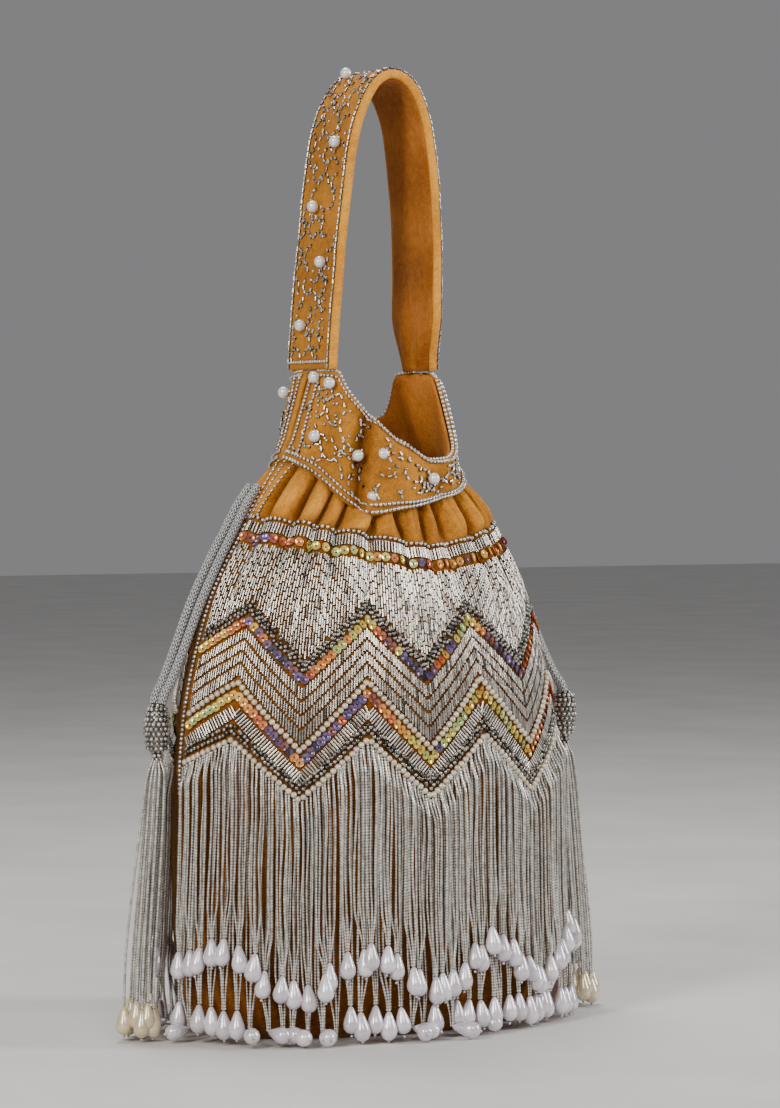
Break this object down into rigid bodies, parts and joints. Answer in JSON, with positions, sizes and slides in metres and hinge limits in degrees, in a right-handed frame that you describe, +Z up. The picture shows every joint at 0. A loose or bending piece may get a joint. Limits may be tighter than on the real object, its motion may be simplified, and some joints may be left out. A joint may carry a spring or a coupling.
{
  "type": "potli bag",
  "caption": "Beaded velvet drawstring pouch with a loop handle, zigzag bead borders, tiered bead fringes ending in drop pearls, and corded tassel pulls.",
  "frame": {"origin": "centre of the footprint, on the surface the bag stands on", "axes": "+Z up, -Y the front, the handle arches and the two pulls hang along X"},
  "size_m": [0.2336, 0.1312, 0.4124],
  "materials": {
    "mustard_velvet": "mustard gold cotton velvet with a short pile, lighter on the crests",
    "plain_velvet": "plain orange-brown velvet facing",
    "lining_satin": "plain orange lining cloth",
    "silver_bugles": "silver-lined glass bugle beads",
    "silver_seed_beads": "silver-lined cut seed beads",
    "iridescent_sequins": "iridescent cup sequins, gold through salmon to violet",
    "cream_pearls": "small cream pearl beads",
    "white_pearls": "white faux pearls with a soft lustre",
    "fringe_strings": "strings of clear silver-lined seed beads with white drop pearls",
    "tassel_strings": "strings of silver seed beads with cream drop pearls",
    "silver_cord": "braided silver-grey lurex cord"
  },
  "bodies": {
    "pouch": {"body_front_panel": "mustard_velvet", "body_back_panel": "mustard_velvet", "base_panel": "mustard_velvet", "collar_front": "mustard_velvet", "collar_back": "mustard_velvet", "strap_outer": "mustard_velvet", "collar_facing": "plain_velvet", "strap_facing": "plain_velvet", "lining": "lining_satin", "top_bead_line_front": "silver_seed_beads", "top_bead_line_back": "silver_seed_beads", "top_bugle_row_front": "silver_bugles", "top_bugle_row_back": "silver_bugles", "top_sequin_row_front": "iridescent_sequins", "top_sequin_row_back": "iridescent_sequins", "bugle_field_front": "silver_bugles", "bugle_field_back": "silver_bugles", "upper_bead_zigzag_front": "silver_seed_beads", "upper_bead_zigzag_back": "silver_seed_beads", "upper_sequin_zigzag_front": "iridescent_sequins", "upper_sequin_zigzag_back": "iridescent_sequins", "chevron_field_front": "silver_bugles", "chevron_field_back": "silver_bugles", "upper_pearl_zigzag_front": "cream_pearls", "upper_pearl_zigzag_back": "cream_pearls", "lower_sequin_zigzag_front": "iridescent_sequins", "lower_sequin_zigzag_back": "iridescent_sequins", "bugle_zigzag_band_front": "silver_bugles", "bugle_zigzag_band_back": "silver_bugles", "lower_bead_zigzag_front": "silver_seed_beads", "lower_bead_zigzag_back": "silver_seed_beads", "lower_pearl_zigzag_front": "cream_pearls", "lower_pearl_zigzag_back": "cream_pearls", "fringe_long_front": "fringe_strings", "fringe_short_front": "fringe_strings", "fringe_long_back": "fringe_strings", "fringe_short_back": "fringe_strings", "seam_beads_left": "silver_seed_beads", "seam_beads_right": "silver_seed_beads", "collar_pearl_1": "white_pearls", "collar_pearl_2": "white_pearls", "collar_pearl_3": "white_pearls", "collar_pearl_4": "white_pearls", "collar_pearl_5": "white_pearls", "collar_pearl_6": "white_pearls", "collar_pearl_7": "white_pearls", "strap_pearl_1": "white_pearls", "strap_pearl_2": "white_pearls", "strap_pearl_3": "white_pearls", "strap_pearl_4": "white_pearls", "strap_pearl_5": "white_pearls"},
    "left_pull": {"drawcord_left_front": "silver_cord", "drawcord_left_back": "silver_cord", "knob_left": "silver_seed_beads", "tassel_left": "tassel_strings"},
    "right_pull": {"drawcord_right_front": "silver_cord", "drawcord_right_back": "silver_cord", "knob_right": "silver_seed_beads", "tassel_right": "tassel_strings"}
  },
  "joints": [
    {"name": "left_pull_swing", "type": "hinge", "parent": "pouch", "child": "left_pull", "pos_m": [-0.0519, 0, 0.232], "axis": [0, 1, 0], "range_deg": [0, 65]},
    {"name": "right_pull_swing", "type": "hinge", "parent": "pouch", "child": "right_pull", "pos_m": [0.0519, 0, 0.232], "axis": [0, -1, 0], "range_deg": [0, 65]}
  ]
}
